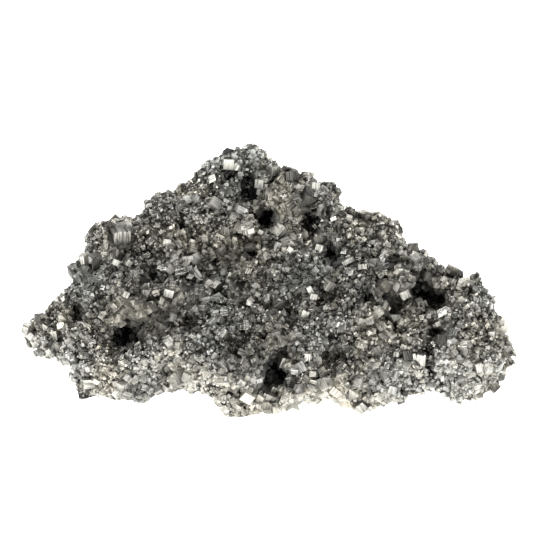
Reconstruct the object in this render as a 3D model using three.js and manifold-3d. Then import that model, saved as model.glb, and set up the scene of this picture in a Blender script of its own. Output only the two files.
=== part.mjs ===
// A loose specimen of drusy pyrite, in millimetres, +Z up, its low front rim towards -Y.
// The specimen is a wedge: a broad upper face slopes up from the rim to a ridge at the back, a low lobe
// reaches out to the left, a rounder lobe closes the right end, and the back falls steeply to the surface
// it rests on. Everything is grown together, so the finished object is one solid: a core, the lumps that
// stand on it, the pits between them, and the larger crystals fused to the lumps.
import * as THREE from "three";
import { ConvexGeometry } from "three/addons/geometries/ConvexGeometry.js";
import { ConvexHull } from "three/addons/math/ConvexHull.js";
import { mergeVertices } from "three/addons/utils/BufferGeometryUtils.js";
import Module from "manifold-3d";

const wasm = await Module();
wasm.setup();

// Driving dimensions. While it is built, the specimen stands with x = 0 midway between its tips, y = 0 at
// the front rim and z = 0 on the surface it rests on.
const RIM_HEIGHT = 12; // where the upper face meets the front wall
const FACE_SLOPE = THREE.MathUtils.degToRad(32); // the upper face above the horizontal
const FACET = 3.95; // edge of the body's facets, and of the grid that they are found on
const GRID_BOX = new THREE.Box3(new THREE.Vector3(-66, -8, -8), new THREE.Vector3(66, 80, 56));
const GRID_TURN = new THREE.Quaternion().setFromEuler(new THREE.Euler(0.42, 0.35, 0.6));
const GAP_FILL = FACET / 4; // depth given to a spot in a gap too narrow for the grid
const SKIN = 0.55; // how far the skin is set out, for what the facets cut off the lumps
const ROUGHNESS = 1; // how far a facet's corner may stray
const CRYSTAL_SIZE = { smallest: 2.4, largest: 5.6 }; // edge of the crystals modelled one by one
const SIZE_SKEW = 1.6; // above 1, small crystals outnumber large ones
const CRYSTAL_SPACING = 2.55; // least distance between crystals, in mean edges of the two
const CRYSTAL_OFFSET = { least: -0.2, most: 0.1 }; // a crystal's centre outside the skin, in edges
const CRYSTAL_TRIES = 2000;
const HABIT_SHARE = { cube: 0.5, block: 0.28, pyritohedron: 0.12 }; // the rest are octahedra
const BLOCK_SIDES = { depth: [0.7, 0.9], height: [1, 1.25] }; // a block's other sides, in edges
const PYRITOHEDRON_HALF = 0.375; // half the cube inside a pyritohedron that looks one edge wide
const OCTAHEDRON_REACH = 0.82; // from an octahedron's middle to its corners, in edges
const GROUND = new THREE.Vector3(200, 200, 40); // the surface it rests on, as a slab
const WELD = 1e-3;
const SEED = 68;
const ACROSS = new THREE.Vector3(1, 0, 0);
const CORNERS = [0, 1, 2, 3, 4, 5, 6, 7]; // of a grid cell
const BITS = [1, 2, 4]; // the three ways along its edges

// Lumps on the upper face: [across, up the face from the rim, radius, how far it stands proud].
const RIDGE_LUMPS = [
  [-39.2, 38.6, 5.2, 2.9],
  [-33.5, 40.5, 4.7, 1.8],
  [-25.8, 46.8, 5.6, 3.3],
  [-17.2, 54, 5.6, 2.8],
  [-11.5, 59.8, 5.2, 3.7],
  [-5.2, 61.8, 5.3, 3.2],
  [1.1, 54.8, 4.5, 3.5],
  [7.2, 52.3, 5.2, 2.8],
  [13.6, 48.4, 5.8, 3.7],
  [19.4, 42, 5.5, 2.6],
  [25.7, 39.6, 5.6, 3.3],
  [32.4, 32.6, 5.1, 2.8],
  [38, 30.5, 5, 2.6],
];
const FACE_LUMPS = [
  [-10, 51.5, 5.2, 4],
  [-16.8, 45, 5.7, 3],
  [-26.5, 38.6, 5.6, 3.4],
  [-35, 33, 5.9, 1.5],
  [-5.4, 42.6, 5.2, 3.2],
  [4.6, 46, 4.8, 5.4],
  [-21.4, 31.6, 5.7, 2],
  [-12, 35.8, 4.8, 2.7],
  [2, 36.6, 5.4, 1.5],
  [10.6, 33.8, 4.8, 3.5],
  [13.6, 41.2, 4.3, 3.7],
  [19.6, 34.6, 5.2, 2.3],
  [21.6, 27, 5.6, 4],
  [27.4, 31.6, 4.7, 1.8],
  [33, 25.4, 4.3, 3.5],
  [-35.6, 22.6, 6, 4.4],
  [-27.6, 23, 5.6, 1.6],
  [-19, 22.8, 5, 2.7],
  [-9.6, 26.6, 5.2, 0.8],
  [-1.6, 26.4, 5.6, 2.5],
  [7, 24.6, 5.2, 3.7],
  [13.4, 24.4, 4.7, 2.3],
  [20.4, 17.6, 5.4, 4],
  [32.2, 14.4, 5.7, 1.1],
  [-24.6, 11.4, 5.4, 2.8],
  [-15.2, 11, 5.4, 3.7],
  [-10.6, 17.6, 4.8, 1.6],
  [-3.2, 14.4, 5.9, 3.4],
  [6.6, 12, 5.6, 1.5],
  [13.4, 14.2, 4.7, 2.5],
  [-4.6, 5.6, 4.1, 3],
  [12, 6, 4.3, 1],
  [22.6, 8.4, 5.4, 2.7],
  [31.4, 6.4, 4.7, 0.8],
];

// Lumps below the face: [x, y, z, radius], from the left tip along the front wall to the right tip.
const LEFT_LOBE_LUMPS = [
  [-54.8, 26, 10, 5.2],
  [-52.4, 22.6, 9, 4.6],
  [-49.6, 27, 13.4, 4.6],
  [-48.6, 20.4, 9.4, 4.8],
  [-43.4, 20.6, 13.6, 5.6],
  [-45.4, 28.4, 19.4, 5.4],
  [-42.8, 32.6, 24.6, 5.6],
  [-44.2, 15, 7.2, 5],
  [-38.6, 24, 18.6, 6],
];
const FRONT_WALL_LUMPS = [
  [-43.2, 13.6, 3.6, 4],
  [-37, 12.2, 4.6, 5],
  [-31.4, 9.8, 4.8, 4.6],
  [-35.6, 10.6, 10.2, 4.4],
  [-27.4, 9.6, 12.2, 4.8],
  [-22.2, 8.8, 9.4, 4.8],
  [-17.4, 6.6, 12.4, 4.6],
  [-16, 7, 6.8, 4.6],
  [-9.4, 3.8, 2.8, 4.8],
  [-9.6, 4.6, 8.6, 4.6],
  [-4, 3.4, 4.4, 4.2],
  [4.6, 3.6, 4.2, 4.4],
  [8.8, 5.4, 9.8, 4.6],
  [10.4, 6, 6, 4.6],
  [16.2, 6.8, 7.2, 4.8],
  [18.8, 5.8, 11.8, 4.6],
  [22.8, 5, 4.2, 4.6],
  [27, 6.4, 10.6, 5],
  [29.6, 6.8, 6, 4.6],
  [34.4, 9, 9.8, 4.8],
];
const RIGHT_LOBE_LUMPS = [
  [44.2, 10.4, 7.4, 6.2],
  [53.4, 14.4, 5.2, 4.4],
  [49.4, 10, 6.6, 5],
  [54.8, 14, 9.6, 4.6],
  [54.4, 17.4, 13, 4.2],
  [48.6, 10.8, 12.8, 5.8],
  [52, 17, 16.4, 4.8],
  [43.8, 13, 16, 6],
  [48.4, 23.4, 20.2, 5.2],
  [43, 27, 21.2, 5],
  [46.6, 17.6, 18.4, 5.4],
];

// Broad lumps low on the body: the middle one is the foot it mainly stands on, the others steady it.
const FOOT_LUMPS = [
  [0, 36, 8, 14],
  [-33, 30, 8, 10],
  [32, 26, 8, 10],
  [-4, 60, 7, 9],
];

// Pits and cracks, which all dip inwards from the front: [x, y, z, half width, half depth, half height].
const PIT_DIP = THREE.MathUtils.degToRad(25);
const PITS = [
  [-34.4, 14, 15.8, 4.4, 8.6, 4],
  [1.4, 5, 7.6, 4.4, 8, 3.2],
  [37.5, 25.3, 23.8, 3.2, 7.6, 5.6],
  [28, 18.5, 21.6, 3.6, 6, 3],
  [9.2, 37.4, 33.4, 2.8, 6, 3.8],
  [13.3, 31, 29.4, 2.6, 5, 2.8],
  [-0.1, 38.9, 34.3, 4, 6, 3],
  [-6.2, 47.5, 39.7, 2.8, 5, 2.6],
  [-14.3, 28.3, 27.7, 3.6, 5, 2.8],
  [-18.9, 17.1, 20.7, 3, 5.6, 3],
  [-25.8, 14.2, 18.9, 3.6, 5.6, 2.6],
  [-8, 6, 13.8, 3, 5, 2.4],
  [-46.6, 23.8, 16.7, 2.8, 5, 2.6],
  [-38, 19.6, 22.3, 2.8, 5, 2.6],
  [-31.2, 24, 25, 2.6, 5, 2.6],
  [40.2, 12, 17, 2.6, 5, 2.6],
  [24.8, 34.4, 31.6, 2.6, 5, 2.6],
  [29.7, 29.8, 28.7, 2.4, 5, 2.4],
  [38.6, 8, 8, 1.9, 7, 6],
  [-22.6, 8, 9.8, 2.6, 5, 2.4],
  [12.6, 4.5, 13.3, 2.4, 5, 2.4],
  [-2, 10.5, 16.6, 2.4, 5, 2.4],
  [-4, 17.5, 21.4, 9, 3.4, 2.2],
  [16.6, 6, 15.6, 4, 4, 2.2],
];

// The crystals that stand out by their size: [across, up the face, proud, width, depth, height, turn].
const LANDMARK_CRYSTALS = [
  [-38.6, 40.6, 3, 5.4, 5, 5.2, 0.2],
  [-46.4, 30, 2.6, 4.8, 4, 4.6, 0.5],
  [-10.6, 59, 4, 4, 3.6, 3.4, 0.7],
  [4.4, 54.6, 4, 4.6, 4, 3.6, 0.1],
  [8.8, 54, 3.4, 4.2, 4, 4.2, 0.35],
  [-2.2, 53.8, 3.4, 3, 3, 3, 0.08],
  [3.4, 41.6, 3, 3, 4.4, 3.4, 0.9],
  [26.8, 17.6, 3.2, 4, 3.2, 3, 0.15],
];

// The core's corners: [x, y, z]. Its front face lies a little under the upper face, so the lumps cover it.
const CORE_CORNERS = [
  [-44, 17, 4],
  [-44, 17, 8],
  [-10, 8, 3],
  [-10, 8, 9],
  [26, 8, 3],
  [26, 8, 9],
  [48, 15, 4],
  [48, 15, 12],
  [-52, 27, 8],
  [-40, 36, 24],
  [-23, 46, 31],
  [-6, 54, 37],
  [12, 47, 33],
  [26, 38, 27],
  [46, 22, 16],
  [53, 16, 9],
  [-45, 40, 3],
  [-38, 45, 20],
  [-14, 64, 3],
  [-10, 62, 26],
  [8, 64, 3],
  [8, 60, 22],
  [36, 46, 3],
  [34, 44, 18],
  [53, 24, 4],
];

// The back: lumps in rows that fall from the ridge to the ground, between these two lines of [x, y, z].
const BACK_TOP = [
  [-47, 33, 17],
  [-38, 44, 27],
  [-22, 53, 34],
  [-6, 61, 38],
  [12, 54, 34],
  [27, 45, 28],
  [40, 34, 21],
  [51, 24, 14],
];
const BACK_FOOT = [
  [-50, 35, 4],
  [-40, 47, 4],
  [-25, 58, 4],
  [-8, 66, 4],
  [10, 65, 4],
  [28, 55, 4],
  [44, 39, 4],
  [53, 27, 4],
];
const BACK_ROWS = 4;
const BACK_LUMP = { radius: 6.6, share: [0.8, 1.1], spread: 1.4 };

// A repeatable random number from 0 to 1.
let state = SEED;
function random() {
  state = (state + 0x6d2b79f5) | 0;
  let t = Math.imul(state ^ (state >>> 15), 1 | state);
  t = (t + Math.imul(t ^ (t >>> 7), 61 | t)) ^ t;
  return ((t ^ (t >>> 14)) >>> 0) / 4294967296;
}

const between = (low, high) => low + (high - low) * random();

// An even random turn.
function randomTurn() {
  const [a, b, c] = [random(), random() * 2 * Math.PI, random() * 2 * Math.PI];
  return new THREE.Quaternion(
    Math.sqrt(1 - a) * Math.sin(b),
    Math.sqrt(1 - a) * Math.cos(b),
    Math.sqrt(a) * Math.sin(c),
    Math.sqrt(a) * Math.cos(c),
  );
}

function randomDirection() {
  return new THREE.Vector3(0, 0, 1).applyQuaternion(randomTurn());
}

// A closed geometry as a solid, turned and then placed.
function solidOf(geometry, position = new THREE.Vector3(), turn = new THREE.Quaternion()) {
  const placed = geometry.clone().applyQuaternion(turn).translate(...position);
  placed.deleteAttribute("normal");
  placed.deleteAttribute("uv");
  const merged = mergeVertices(placed, WELD);
  return new wasm.Manifold(
    new wasm.Mesh({
      numProp: 3,
      vertProperties: merged.attributes.position.array,
      triVerts: new Uint32Array(merged.index.array),
    }),
  );
}

// Joins solids in pairs, so that each join works on small meshes.
function joined(solids) {
  while (solids.length > 1) {
    const next = [];
    for (let i = 0; i < solids.length; i += 2)
      next.push(i + 1 < solids.length ? solids[i].add(solids[i + 1]) : solids[i]);
    solids = next;
  }
  return solids[0];
}

// The solid inside the outer surface: sealed hollows are filled, and loose chips left out.
function withoutHollows(solid) {
  const larger = (a, b) => (b.volume() > a.volume() ? b : a);
  return solid.decompose().reduce(larger);
}

// A point of the upper face: across it, up it from the rim, and proud of it.
function onFace(across, up, proud) {
  return new THREE.Vector3(
    across,
    up * Math.cos(FACE_SLOPE) - proud * Math.sin(FACE_SLOPE),
    RIM_HEIGHT + up * Math.sin(FACE_SLOPE) + proud * Math.cos(FACE_SLOPE),
  );
}

// Lumps in rows between the two lines of the back, each a little out of place.
function backLumps() {
  const lumps = [];
  for (let row = 0; row < BACK_ROWS; row++)
    for (let i = 0; i < BACK_TOP.length - (row % 2); i++) {
      const along = row % 2 ? 0.5 : 0;
      const next = Math.min(i + 1, BACK_TOP.length - 1);
      const onLine = (line) => new THREE.Vector3(...line[i]).lerp(new THREE.Vector3(...line[next]), along);
      const centre = onLine(BACK_TOP).lerp(onLine(BACK_FOOT), row / (BACK_ROWS - 1));
      centre.x += between(-1, 1) * BACK_LUMP.spread;
      centre.y += between(-1, 1) * BACK_LUMP.spread - BACK_LUMP.radius / 2;
      centre.z += between(-1, 1) * BACK_LUMP.spread;
      lumps.push({ centre, radius: BACK_LUMP.radius * between(...BACK_LUMP.share) });
    }
  return lumps;
}

function allLumps() {
  const onFaceLump = ([across, up, radius, proud]) => {
    return { centre: onFace(across, up, proud - radius), radius };
  };
  const placedLump = ([x, y, z, radius]) => ({ centre: new THREE.Vector3(x, y, z), radius });
  const upper = [...RIDGE_LUMPS, ...FACE_LUMPS].map(onFaceLump);
  const lower = [...LEFT_LOBE_LUMPS, ...FRONT_WALL_LUMPS, ...RIGHT_LOBE_LUMPS, ...FOOT_LUMPS];
  return [...upper, ...lower.map(placedLump), ...backLumps()];
}

// How far a point lies outside a pit, in millimetres across its narrowest way: below zero inside it.
function outOfPit(point, [x, y, z, ...halfSizes]) {
  const offset = point.clone().sub(new THREE.Vector3(x, y, z)).applyAxisAngle(ACROSS, PIT_DIP);
  return (offset.divide(new THREE.Vector3(...halfSizes)).length() - 1) * Math.min(...halfSizes);
}

// How deep a point lies inside the body, in millimetres: below zero outside it, and in the pits.
function depthField() {
  const core = new ConvexHull().setFromPoints(CORE_CORNERS.map((corner) => new THREE.Vector3(...corner)));
  const lumps = allLumps();
  return (point) => {
    let depth = Math.min(...core.faces.map((face) => -face.distanceToPoint(point)));
    for (const { centre, radius } of lumps) depth = Math.max(depth, radius - centre.distanceTo(point));
    depth += SKIN;
    for (const pit of PITS) depth = Math.min(depth, outOfPit(point, pit));
    return depth;
  };
}

// A grid of depths over the body, turned so that its facets lie every way. Each cell's corners are
// numbered so that bit 0 is +x, bit 1 +y and bit 2 +z.
class DepthGrid {
  constructor(field) {
    const unturn = new THREE.Matrix4().makeRotationFromQuaternion(GRID_TURN.clone().invert());
    const box = GRID_BOX.clone().applyMatrix4(unturn);
    this.low = box.min;
    const span = box.getSize(new THREE.Vector3()).divideScalar(FACET).ceil();
    this.count = [span.x + 1, span.y + 1, span.z + 1];
    this.steps = [1, this.count[0], this.count[0] * this.count[1]];
    this.depths = new Float64Array(this.count[0] * this.count[1] * this.count[2]);
    this.depths.forEach((_, node) => (this.depths[node] = field(this.pointOf(node))));
    this.cells = [];
    for (let z = 0; z < this.count[2] - 1; z++)
      for (let y = 0; y < this.count[1] - 1; y++)
        for (let x = 0; x < this.count[0] - 1; x++)
          this.cells.push(x + y * this.steps[1] + z * this.steps[2]);
  }

  pointOf(node) {
    const x = node % this.count[0];
    const y = Math.floor(node / this.steps[1]) % this.count[1];
    const z = Math.floor(node / this.steps[2]);
    return new THREE.Vector3(x, y, z).multiplyScalar(FACET).add(this.low).applyQuaternion(GRID_TURN);
  }

  corner(cell, number) {
    return cell + (number & 1) + ((number >> 1) & 1) * this.steps[1] + (number >> 2) * this.steps[2];
  }

  inside(node) {
    return this.depths[node] > 0;
  }

  // Whether a cell's corners that are inside, or those that are outside, hang together along its edges.
  hangsTogether(cell, inside) {
    const same = CORNERS.filter((number) => this.inside(this.corner(cell, number)) === inside);
    const reached = new Set(same.slice(0, 1));
    for (const number of reached)
      for (const bit of BITS) if (same.includes(number ^ bit)) reached.add(number ^ bit);
    return reached.size === same.length;
  }

  // Fills the gaps too narrow for the grid, so that no two stretches of skin meet in one cell.
  closeNarrowGaps() {
    for (let open = true; open; ) {
      open = false;
      for (const cell of this.cells) {
        if (this.hangsTogether(cell, true) && this.hangsTogether(cell, false)) continue;
        const number = CORNERS.find((n) => !this.inside(this.corner(cell, n)));
        this.depths[this.corner(cell, number)] = GAP_FILL;
        open = true;
      }
    }
  }

  // The skin's corner in a cell: the middle of the places where the cell's edges cross the surface.
  skinCorner(cell) {
    const middle = new THREE.Vector3();
    let crossings = 0;
    for (const number of CORNERS)
      for (const bit of BITS) {
        const [a, b] = [this.corner(cell, number), this.corner(cell, number | bit)];
        if (number & bit || this.inside(a) === this.inside(b)) continue;
        const share = this.depths[a] / (this.depths[a] - this.depths[b]);
        middle.add(this.pointOf(a).lerp(this.pointOf(b), share));
        crossings++;
      }
    return crossings ? middle.divideScalar(crossings) : null;
  }
}

// The core and its lumps as one skin of uneven facets.
function lumpyBody() {
  const grid = new DepthGrid(depthField());
  grid.closeNarrowGaps();
  const corners = new Map();
  for (const cell of grid.cells) {
    const corner = grid.skinCorner(cell);
    if (!corner) continue;
    corners.set(cell, corner.addScaledVector(randomDirection(), ROUGHNESS * random()));
  }
  const positions = [];
  for (const cell of grid.cells)
    for (const [axis, other, third] of [[0, 1, 2], [1, 2, 0], [2, 0, 1]]) {
      const [a, b] = [cell, cell + grid.steps[axis]];
      if (grid.inside(a) === grid.inside(b)) continue;
      const [back, left] = [grid.steps[other], grid.steps[third]];
      const ring = [cell, cell - back, cell - back - left, cell - left].map((n) => corners.get(n));
      if (grid.inside(b)) ring.reverse();
      for (const number of [0, 1, 2, 0, 2, 3]) positions.push(...ring[number].toArray());
    }
  const skin = new THREE.BufferGeometry();
  skin.setAttribute("position", new THREE.Float32BufferAttribute(positions, 3));
  return solidOf(skin);
}

// The pyritohedron: twelve equal pentagons, pyrite's own form besides the cube and the octahedron.
function pyritohedron(size) {
  const near = size * PYRITOHEDRON_HALF;
  const far = near * 1.5;
  const corners = [];
  for (const a of [-1, 1])
    for (const b of [-1, 1]) {
      corners.push(new THREE.Vector3(a * near, b * near, near));
      corners.push(new THREE.Vector3(a * near, b * near, -near));
      corners.push(new THREE.Vector3(0, a * far, (b * far) / 2));
      corners.push(new THREE.Vector3((b * far) / 2, 0, a * far));
      corners.push(new THREE.Vector3(a * far, (b * far) / 2, 0));
    }
  return new ConvexGeometry(corners);
}

// One of the habits that the specimen shows: mostly cubes and blocks, some pyritohedra and octahedra.
function crystalForm(size) {
  const depth = size * between(...BLOCK_SIDES.depth);
  const height = size * between(...BLOCK_SIDES.height);
  let habit = random() - HABIT_SHARE.cube;
  if (habit < 0) return new THREE.BoxGeometry(size, size, size);
  habit -= HABIT_SHARE.block;
  if (habit < 0) return new THREE.BoxGeometry(size, depth, height);
  habit -= HABIT_SHARE.pyritohedron;
  if (habit < 0) return pyritohedron(size);
  return new THREE.OctahedronGeometry(size * OCTAHEDRON_REACH);
}

// Points scattered evenly over a solid's surface, each with the outward direction there.
function* surfacePoints(solid, count) {
  const { numProp, vertProperties, triVerts } = solid.getMesh();
  const corner = (i) => new THREE.Vector3().fromArray(vertProperties, triVerts[i] * numProp);
  const triangles = [];
  let area = 0;
  for (let i = 0; i < triVerts.length; i += 3) {
    const triangle = new THREE.Triangle(corner(i), corner(i + 1), corner(i + 2));
    area += triangle.getArea();
    triangles.push({ triangle, upTo: area });
  }
  for (let n = 0; n < count; n++) {
    const target = random() * area;
    let [low, high] = [0, triangles.length - 1];
    while (low < high) {
      const middle = (low + high) >> 1;
      if (triangles[middle].upTo < target) low = middle + 1;
      else high = middle;
    }
    const { a, b, c } = triangles[low].triangle;
    const [s, t] = [Math.sqrt(random()), random()];
    const point = a.clone().multiplyScalar(1 - s);
    point.addScaledVector(b, s * (1 - t)).addScaledVector(c, s * t);
    yield { point, outward: triangles[low].triangle.getNormal(new THREE.Vector3()) };
  }
}

// Crystals all over a body, none closer to its neighbours than their sizes allow, and none on the
// ground or in the pits.
function scatteredCrystals(body, taken) {
  const crystals = [];
  for (const { point, outward } of surfacePoints(body, CRYSTAL_TRIES)) {
    const { smallest, largest } = CRYSTAL_SIZE;
    const size = smallest + (largest - smallest) * random() ** SIZE_SKEW;
    const near = (other) => point.distanceTo(other.point) < (CRYSTAL_SPACING * (size + other.size)) / 2;
    const inPit = (pit) => outOfPit(point, pit) < size / 2;
    if (point.z < size / 2 || taken.some(near) || PITS.some(inPit)) continue;
    taken.push({ point, size });
    const offset = size * between(CRYSTAL_OFFSET.least, CRYSTAL_OFFSET.most);
    const centre = point.clone().addScaledVector(outward, offset);
    crystals.push(solidOf(crystalForm(size), centre, randomTurn()));
  }
  return crystals;
}

function build() {
  const body = lumpyBody();
  const taken = [];
  const landmarks = LANDMARK_CRYSTALS.map(([across, up, proud, width, depth, height, turn]) => {
    const point = onFace(across, up, proud - height / 2);
    taken.push({ point, size: width });
    const leaning = new THREE.Euler(FACE_SLOPE * (1 - turn), turn, turn);
    const facing = new THREE.Quaternion().setFromEuler(leaning);
    return solidOf(new THREE.BoxGeometry(width, depth, height), point, facing);
  });
  const whole = joined([body, ...landmarks, ...scatteredCrystals(body, taken)]);
  const ground = solidOf(new THREE.BoxGeometry(...GROUND), new THREE.Vector3(0, 0, -GROUND.z / 2));
  return withoutHollows(whole.subtract(ground));
}

// The finished solid as a geometry whose box is centred over the origin and stands on z = 0.
function geometryOf(solid) {
  const { numProp, vertProperties, triVerts } = solid.getMesh();
  const positions = new Float32Array(triVerts.length * 3);
  triVerts.forEach((vertex, i) => {
    for (let axis = 0; axis < 3; axis++) positions[3 * i + axis] = vertProperties[vertex * numProp + axis];
  });
  const geometry = new THREE.BufferGeometry();
  geometry.setAttribute("position", new THREE.BufferAttribute(positions, 3));
  geometry.computeBoundingBox();
  const { min, max } = geometry.boundingBox;
  geometry.translate(-(min.x + max.x) / 2, -(min.y + max.y) / 2, -min.z);
  geometry.computeVertexNormals();
  return geometry;
}

const pyrite = new THREE.MeshStandardMaterial({
  color: new THREE.Color(0.6, 0.58, 0.52),
  roughness: 0.3,
  metalness: 1,
  flatShading: true,
});
const cluster = new THREE.Mesh(geometryOf(build()), pyrite);
cluster.name = "pyrite_cluster";

const specimen = new THREE.Group();
specimen.add(cluster);

export default specimen;
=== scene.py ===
import math

import bmesh
import bpy
import numpy as np
from mathutils import Euler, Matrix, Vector, noise
from mathutils.bvhtree import BVHTree
from mathutils.kdtree import KDTree


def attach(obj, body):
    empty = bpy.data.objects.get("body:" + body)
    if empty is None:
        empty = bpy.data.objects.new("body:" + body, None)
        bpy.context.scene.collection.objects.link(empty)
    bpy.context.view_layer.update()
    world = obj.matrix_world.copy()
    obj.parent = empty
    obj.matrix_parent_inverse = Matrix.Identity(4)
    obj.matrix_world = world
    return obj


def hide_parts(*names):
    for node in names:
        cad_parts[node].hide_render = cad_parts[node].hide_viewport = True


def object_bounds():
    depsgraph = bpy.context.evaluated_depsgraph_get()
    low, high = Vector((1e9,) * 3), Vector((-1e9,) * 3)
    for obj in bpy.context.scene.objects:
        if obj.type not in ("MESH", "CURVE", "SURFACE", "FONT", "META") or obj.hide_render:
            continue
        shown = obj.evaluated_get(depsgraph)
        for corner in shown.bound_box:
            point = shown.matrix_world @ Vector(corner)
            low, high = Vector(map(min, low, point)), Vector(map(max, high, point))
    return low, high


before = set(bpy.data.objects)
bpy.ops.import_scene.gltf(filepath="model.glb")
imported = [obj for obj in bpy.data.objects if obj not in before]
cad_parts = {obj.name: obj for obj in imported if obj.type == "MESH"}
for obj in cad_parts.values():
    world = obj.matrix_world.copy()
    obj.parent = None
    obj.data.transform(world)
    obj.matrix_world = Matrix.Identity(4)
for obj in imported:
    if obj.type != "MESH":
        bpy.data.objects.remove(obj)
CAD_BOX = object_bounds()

MM = 0.001  # a millimetre, as lengths are in metres
SEED = 7

# Camera, as in the photograph: seen from the low rim, from above it.
ELEVATION = math.radians(25)
DISTANCE = 0.7
LENS = 192.2  # focal length in millimetres
SIGHT = (0.05, 20)  # the nearest and the farthest that it sees
AIM = Vector((-0.0002, 0.0, 0.0248))
VIEW = Vector((0, -math.cos(ELEVATION), math.sin(ELEVATION)))  # from the specimen towards the camera
UP = Vector((0, math.sin(ELEVATION), math.cos(ELEVATION)))  # up in the picture

# The skin under the crystals.
VOXEL = 0.9 * MM
CLUMPS = 2000  # small clumps that the crust is divided into, each at its own height
CLUMP_HEIGHT = (-1.8 * MM, 0.1 * MM)
CREVICE = {"depth": 1.5 * MM, "width": 1.2 * MM}
CREVICE_PATCH = {"size": 6 * MM, "open": 0.6, "change": 1.4}  # how open crevices are, from patch to patch
SKIN_RELIEF = {"width": 2.4 * MM, "height": 0.4 * MM}  # the finer bumps
FOOT = 3 * MM  # below this height the skin keeps closer to the solid, so that the feet stay flat
SHADE_RAYS = {"number": 12, "start": 0.3 * MM, "reach": 9 * MM}
# Shares of blocked rays where a pit's painted shade starts, and where it is black.
SHUT_IN = {"start": 0.56, "full": 1.0}
PALE = {"full": 0.2, "none": 0.6}  # painted light on clumps facing sideways or down: how much a clump's normal rises where it is palest, and where it is not pale
# How much that painted light lifts a crystal's lightness, and how much duller it makes it.
PALE_GAIN = {"lightness": 0.66, "dullness": 0.8}
SMALLEST_SUM = 0.001  # of a clump's normals, so that none is divided by zero
SKIN_SHADE = 0.5  # how much painted shade the skin gets between the crystals, at the least

# The crystals.
CRYSTALS = 75000
# Where the skin points down by more than the dip, only this share of the crystals grows.
UNDERSIDE = {"dip": 0.6, "share": 0.3}
FINE = {"middle": 0.62 * MM, "spread": 0.4}
COARSE = {"middle": 1.25 * MM, "spread": 0.3, "share": 0.05}
CRYSTAL_LIMITS = (0.35 * MM, 2.5 * MM)
CRYSTAL_STRETCH = (0.7, 1.25)  # of a cube's sides
CRYSTAL_RAISED = (-0.25, 0.2)  # how far a crystal's centre lies above the skin, in its size
SIZE_PATCH = 11 * MM  # across the patches of finer and of coarser crystals
SIZE_CHANGE = 0.6
HABIT_SHARES = [0.84, 0.02, 0.05, 0.09]  # of cubes, truncated cubes, pyritohedra and octahedra
GROUPS = 2000  # blocks of parallel crystals grown into one another
GROUP_SIZE = (0.9 * MM, 2.4 * MM)
GROUP_MEMBERS = 7
PARALLEL = {"aside": 0.3, "size": (0.42, 0.72), "stretch": (0.85, 1.15)}  # members, in its size
STACKS = 60  # blocks built of plates
STACK_SIZE = (1.3 * MM, 2.3 * MM)
PLATE = {"aside": 0.03, "width": (0.84, 1.0), "overlap": 1.04}  # in the block's size, and in its own step
BLOCK_SKEW = 2.4  # above 1, small blocks outnumber large ones
BLOCK_SUNK = 0.12  # how deep a block's centre lies under the skin, in its size
BLOCK_BARE = 0.3  # no block grows where the skin is barer than this
OUTSIDE = 0.6 * MM  # how far the crust may pass the solid's box
PIECES = 5

# Each crystal's tone, finish and painted shade: light or dark, warm or cool, smooth or dull, in the open or
# in painted shade.
LIGHTNESS_SPREAD = (1.5, 1.35)  # weights of light and of dark crystals, more even when smaller
MEMBER_LIGHTNESS = 0.1  # how far a block's member may stray from the block
WARM_PATCH = 13 * MM  # across the patches of warmer and of cooler colour
WARMTH = {"middle": 0.5, "patch": 0.9, "single": 0.3}
# A crystal gets painted shade near its root: how much at most, up to what height in its own sizes, and how
# much less if it is light.
ROOT_SHADE = {"most": 0.9, "height": 0.5, "spared": 0.25}

# Forms of crystals about 1 across.
CUBE_HALF = 0.5
OCTAHEDRON_REACH = 0.75
TRUNCATED_CUBE = {"half": 0.52, "edge": 0.3}
# Half the side of its inner cube, and where its ridges end, in that half: outwards and along the face.
PYRITOHEDRON = {"cube": 0.375, "ridge": (1.5, 0.75)}
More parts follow.
